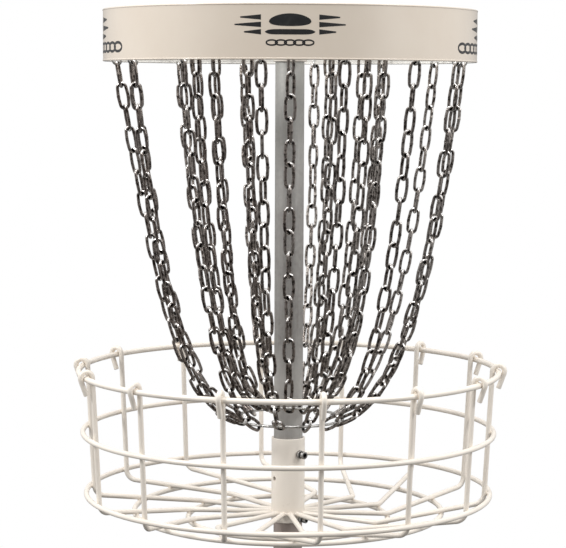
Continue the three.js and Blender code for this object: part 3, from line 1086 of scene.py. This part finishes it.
def chain(tier, body, azimuth, hook_radius, hook_z, links, lay, noise):
    """One chain; lay is as for the front chain."""
    ring_radius, ring_z, _ = ring_size(tier + "_chain_ring")
    length = links * LINK_PITCH + CHAIN_HOOK
    curve = HangingCurve(ring_radius, ring_z, hook_radius, hook_z, length)
    out, beside = outward(azimuth), around(azimuth)
    pull = TIGHT_CHAIN_PULL if body == TIGHT_CHAIN else noise.uniform(-2, 2) * MM
    sway = noise.uniform(-3, 3) * MM

    def place(distance):
        radius, z = curve.at(distance)
        slack = math.sin(math.pi * min(max(distance / length, 0), 1))
        return (radius - pull * slack) * out + sway * slack * beside + z * UP

    shape = Shape()
    # Painted light: chains towards that azimuth get a lighter steel.
    painted_side_light = 0.5 + 0.5 * math.cos(azimuth - PAINTED_LIGHT_CHAINS_AZIMUTH)
    first_turn, next_turn = lay
    for index in range(links):
        distance = FIRST_LINK + index * LINK_PITCH
        lengthwise = unit(place(distance + LINK_PITCH / 2) - place(distance - LINK_PITCH / 2))
        inward = np.cross(lengthwise, beside)
        turn = first_turn + next_turn * (links - 1 - index) + math.radians(noise.uniform(-9, 9))
        widthwise = math.cos(turn) * inward + math.sin(turn) * beside
        add_link(shape, place(distance), lengthwise, widthwise, painted_side_light, noise)
    piece(body + "_links", shape, "chain_steel", body, [body])

    last_bow = FIRST_LINK + (links - 1) * LINK_PITCH + LINK_PITCH / 2
    eye_foot = place(last_bow - HOOK_WIRE_RADIUS + HOOK_LINK_EYE)
    eye_top = hook_radius * out + (hook_z + RACK_RING_WIRE_RADIUS + HOOK_WIRE_RADIUS - HOOK_TOP_EYE) * UP
    hook = Shape()
    s_hook(hook, eye_top, eye_foot, out)
    piece(body + "_hook", hook, "bright_steel", body)


def chains():
    noise = random.Random(20)
    for tier, links in (("outer", 18), ("inner", 17)):
        for body, azimuth, radius, z in chain_joints(tier):
            next_turn = math.radians(90 + noise.choice((-1, 1)) * noise.uniform(6, 26))
            lay = (math.radians(noise.uniform(50, 130)), next_turn)
            if body == FRONT_CHAIN:
                lay = FRONT_CHAIN_LAY
            chain(tier, body, azimuth, radius, z, links, lay, noise)
        ring_node = tier + "_chain_ring"
        between = chain_joints(tier)[0][1] + BAY / 2
        swell = (1.06, 1.14, 1.06)
        welded_ring(tier + "_gathering_ring", ring_node, between, 168, swell, "bright_steel", ring_node)


# ---- Wire tray ----


# Piece, CAD node, and where each ring's butt weld is, in degrees.
TRAY_RINGS = (
    ("rim_wire", "rim_ring", 140),
    ("middle_wire", "middle_ring", 205),
    ("lower_wire", "lower_ring", 96),
    ("floor_wire_outer", "floor_ring_outer", 250),
    ("floor_wire_inner", "floor_ring_inner", 75),
)


def wall_slope():
    """How far out the tray's wall leans for its height."""
    middle_radius, middle_z, _ = ring_size("middle_ring")
    lower_radius, lower_z, _ = ring_size("lower_ring")
    return (middle_radius - lower_radius) / (middle_z - lower_z)


def wall_radius(z):
    """Radius of the uprights' centreline on the wall."""
    ring_radius, ring_z, _ = ring_size("lower_ring")
    return ring_radius - WIRE - GAP + (z - ring_z) * wall_slope()


def arc_at(before, corner, after, radius, steps):
    """Points of a round bend at a corner between two straight runs."""
    arriving = unit(corner - before)
    leaving = unit(after - corner)
    turn = math.acos(np.clip(arriving @ leaving, -1, 1))
    setback = radius * math.tan(turn / 2)
    inward = unit(leaving - arriving)
    centre = corner + inward * radius / math.cos(turn / 2)
    start = corner - setback * arriving - centre
    axis = unit(np.cross(arriving, leaving))
    points = []
    for step in range(steps + 1):
        angle = turn * step / steps
        points.append(centre + start * math.cos(angle) + np.cross(axis, start) * math.sin(angle))
    return points


def straight(start, end, spacing=12 * MM):
    """Points strictly between two ends."""
    count = max(1, int(np.linalg.norm(end - start) / spacing))
    return [start + (end - start) * step / count for step in range(1, count)]


def hook_points(azimuth):
    """The hook of an upright, from its cut tip up over the rim and onto the wall's slope."""
    rim_radius, rim_z, _ = ring_size("rim_ring")
    centre_z = rim_z + HOOK_RISE
    first = math.pi / 2 - HOOK_SWEEP_PAST_TOP
    last = math.pi + math.atan(wall_slope())
    points = []
    for turn in np.linspace(first, last, 22):
        radius = rim_radius + HOOK_BEND * math.cos(turn)
        points.append(polar(radius, azimuth, centre_z + HOOK_BEND * math.sin(turn)))
    tip_radius = rim_radius + HOOK_BEND * math.cos(first) + HOOK_TIP * math.sin(first)
    tip_z = centre_z + HOOK_BEND * math.sin(first) - HOOK_TIP * math.cos(first)
    tip = polar(tip_radius, azimuth, tip_z)
    return [tip, *straight(tip, points[0]), *points]


def upright_path(azimuth):
    floor_azimuth = azimuth - BAY
    kink_radius, kink_ring_z, _ = ring_size("floor_ring_inner")
    hub_radius = turned_size("basket_hub")[1]
    hook = hook_points(azimuth)
    corner = polar(wall_radius(FLOOR_CORNER_Z), azimuth, FLOOR_CORNER_Z)
    kink = polar(kink_radius, floor_azimuth, kink_ring_z + WIRE + GAP)
    hub_end = polar(hub_radius - 0.5 * MM, floor_azimuth, FLOOR_HUB_Z)
    foot = arc_at(hook[-1], corner, kink, FLOOR_CORNER_BEND, 12)
    turn = arc_at(corner, kink, hub_end, FLOOR_KINK_BEND, 8)
    return [
        *hook,
        *straight(hook[-1], foot[0]),
        *foot,
        *straight(foot[-1], turn[0]),
        *turn,
        *straight(turn[-1], hub_end),
        hub_end,
    ]


def upright(index, azimuth):
    path, radii = cut_ends(upright_path(azimuth), WIRE / 2, 0.7 * MM)
    node = numbered("basket_upright", index)
    piece(numbered("tray_wire", index), wire(Shape(), path, radii), "powder_coat", replaces=[node])


def weld_lumps(name, spots, size, rough, noise):
    """A piece of weld metal with a lump at each spot's centre and azimuth."""
    shape = Shape()
    for centre, azimuth in spots:
        weld(shape, centre, azimuth, size, rough, noise)
    piece(name, shape, "powder_coat")


def wall_spots(node):
    """Where the uprights cross a ring of the wall."""
    radius, z, _ = ring_size(node)
    return [(polar(radius - (WIRE + GAP) / 2, azimuth, z), azimuth) for azimuth in UPRIGHTS]


def rim_spots():
    radius, z, ring_wire = ring_size("rim_ring")
    return [(polar(radius - 0.6 * ring_wire, azimuth, z + 0.9 * ring_wire), azimuth) for azimuth in UPRIGHTS]


def nearest_on_path(path, radius):
    """Where a path crosses a radius about the pole, on its floor run."""
    floor = [point for point in path if point[2] < FLOOR_CORNER_Z + WIRE]
    return min(floor, key=lambda point: abs(np.hypot(point[0], point[1]) - radius))


def floor_spots(node):
    """Where the floor wires lie on a ring of the floor."""
    radius, z, _ = ring_size(node)
    spots = []
    for upright_azimuth in UPRIGHTS:
        x, y, _ = nearest_on_path(upright_path(upright_azimuth), radius)
        azimuth = math.atan2(x, -y)
        spots.append((polar(radius, azimuth, z + (WIRE + GAP) / 2), azimuth))
    return spots


def hub_spots():
    """A small fillet of weld on each side of a floor wire's end."""
    radius = turned_size("basket_hub")[1]
    spots = []
    for azimuth in UPRIGHTS:
        for side in (-1, 1):
            for step in range(3):
                foot = polar(radius + step * 0.9 * MM, azimuth, FLOOR_HUB_Z)
                spots.append((foot + side * (4.7 - step) * MM * around(azimuth), azimuth))
    return spots


def tray():
    noise = random.Random(31)
    for name, node, weld_place in TRAY_RINGS:
        welded_ring(name, node, math.radians(weld_place), 16 * BAYS, (1.03, 1.08, 1.03), "powder_coat")
    for index, azimuth in enumerate(UPRIGHTS):
        upright(index, azimuth)
    weld_lumps("rim_welds", rim_spots(), (3.8, 2.6, 2.6), 0.08, noise)
    for node in ("middle_ring", "lower_ring"):
        weld_lumps(node + "_welds", wall_spots(node), (3.5, 1.9, 3.5), 0.07, noise)
    for node in ("floor_ring_outer", "floor_ring_inner"):
        weld_lumps(node + "_welds", floor_spots(node), (3.5, 3.5, 1.9), 0.07, noise)
    weld_lumps("hub_welds", hub_spots(), (1.7, 1.6, 3.0), 0.1, noise)


# ---- Studio ----

FLOOR_REACH = 1.7
# Softboxes: name, azimuth in degrees, distance, height, side of the square, power in watts.
LIGHTS = (("key", -62, 2.2, 2.4, 0.5, 27), ("fill", 60, 2.3, 2.1, 0.5, 17), ("top", 0, 0.3, 3.2, 0.7, 17))
LIGHT_TARGET = (0, 0, 1.0)
# How bright the room is: everywhere, to the sides, behind the object and above; and how much less below.
ROOM_BASE, ROOM_SIDES, ROOM_BEHIND, ROOM_ABOVE, ROOM_BELOW = 0.17, 0.75, 0.12, 1.0, 0.85
CAMERA_PLACE = (0, -3.288, 1.290)
CAMERA_PITCH, CAMERA_YAW, CAMERA_ROLL = (math.radians(turn) for turn in (5.40, 0.174, 0.252))
CAMERA_LENS = 125.56
CAMERA_SENSOR = 36


def floor():
    """A pale disc under the foot that fades out towards its edge."""
    ground = CAD_BOX[0].z
    sides = 96
    rings = np.array([circle(radius, 0.0, ground, sides) for radius in (0.001, FLOOR_REACH)])
    points, faces = loft(rings, closed=False)
    without_caps = faces[:sides]
    obj = make_object("studio_floor", Shape().add(points, without_caps))
    finish = Finish("floor_paper", 0.9)
    shade = finish.noise(0.7, 2.0)
    finish.colour(finish.mixed(shade, (0.76, 0.76, 0.76), (0.79, 0.79, 0.79)))
    fade = finish.ranged(finish.length(finish.place), 1.0, 0.0, 0.6, FLOOR_REACH)
    finish.put(fade, finish.shader.inputs["Alpha"])
    obj.data.materials.append(finish.material)
    obj.visible_diffuse = False
    obj.visible_glossy = False


def soft_light(name, azimuth, distance, z, size, power):
    """A square softbox that faces the middle of the object."""
    data = bpy.data.lights.new(name, "AREA")
    data.size = size
    data.energy = power
    obj = bpy.data.objects.new(name, data)
    place = polar(distance, math.radians(azimuth), z)
    forward = unit(np.array(LIGHT_TARGET) - place)
    side = unit(np.cross(forward, UP))
    top = np.cross(side, forward)
    matrix = np.eye(4)
    matrix[:3] = np.array((side, top, -forward, place)).T
    obj.matrix_world = Matrix(matrix.tolist())
    bpy.context.scene.collection.objects.link(obj)


def world():
    """White behind the object, and a room that is brighter to the sides and above."""
    room = bpy.data.worlds.new("studio")
    bpy.context.scene.world = room
    graph = Graph(room)
    direction = graph.node("TexCoord").outputs["Generated"]
    x, y, z = graph.node("SeparateXYZ", Vector=direction).outputs
    sides = graph.math("MULTIPLY", graph.math("POWER", graph.math("ABSOLUTE", x), 2.0), ROOM_SIDES)
    behind = graph.math("MULTIPLY", graph.math("MAXIMUM", y), ROOM_BEHIND)
    above = graph.math("MULTIPLY", graph.math("MAXIMUM", z), ROOM_ABOVE)
    level = graph.math("ADD", graph.math("ADD", sides, above), graph.math("ADD", behind, ROOM_BASE))
    down = graph.math("MULTIPLY", graph.math("MINIMUM", z), ROOM_BELOW)
    level = graph.math("MULTIPLY", level, graph.math("ADD", down, 1.0))
    seen = graph.node("LightPath").outputs["Is Camera Ray"]
    hidden = graph.math("SUBTRACT", 1.0, seen)
    background = graph.nodes["Background"]
    graph.put(graph.math("ADD", graph.math("MULTIPLY", level, hidden), seen), background.inputs["Strength"])
    background.inputs["Color"].default_value = (1, 1, 1, 1)


def camera():
    data = bpy.data.cameras.new("camera")
    data.sensor_width = CAMERA_SENSOR
    data.lens = CAMERA_LENS
    obj = bpy.data.objects.new("camera", data)
    turn = (
        Matrix.Rotation(CAMERA_YAW, 4, "Z")
        @ Matrix.Rotation(math.pi / 2 - CAMERA_PITCH, 4, "X")
        @ Matrix.Rotation(CAMERA_ROLL, 4, "Z")
    )
    obj.matrix_world = Matrix.Translation(CAMERA_PLACE) @ turn
    bpy.context.scene.collection.objects.link(obj)
    bpy.context.scene.camera = obj


pole()
cap()
hub()
ground_fitting()
screws()
deflector_band()
markings()
chain_rack()
chains()
tray()

floor()
world()
for light in LIGHTS:
    soft_light(*light)
camera()
bpy.context.scene.view_settings.view_transform = "Standard"
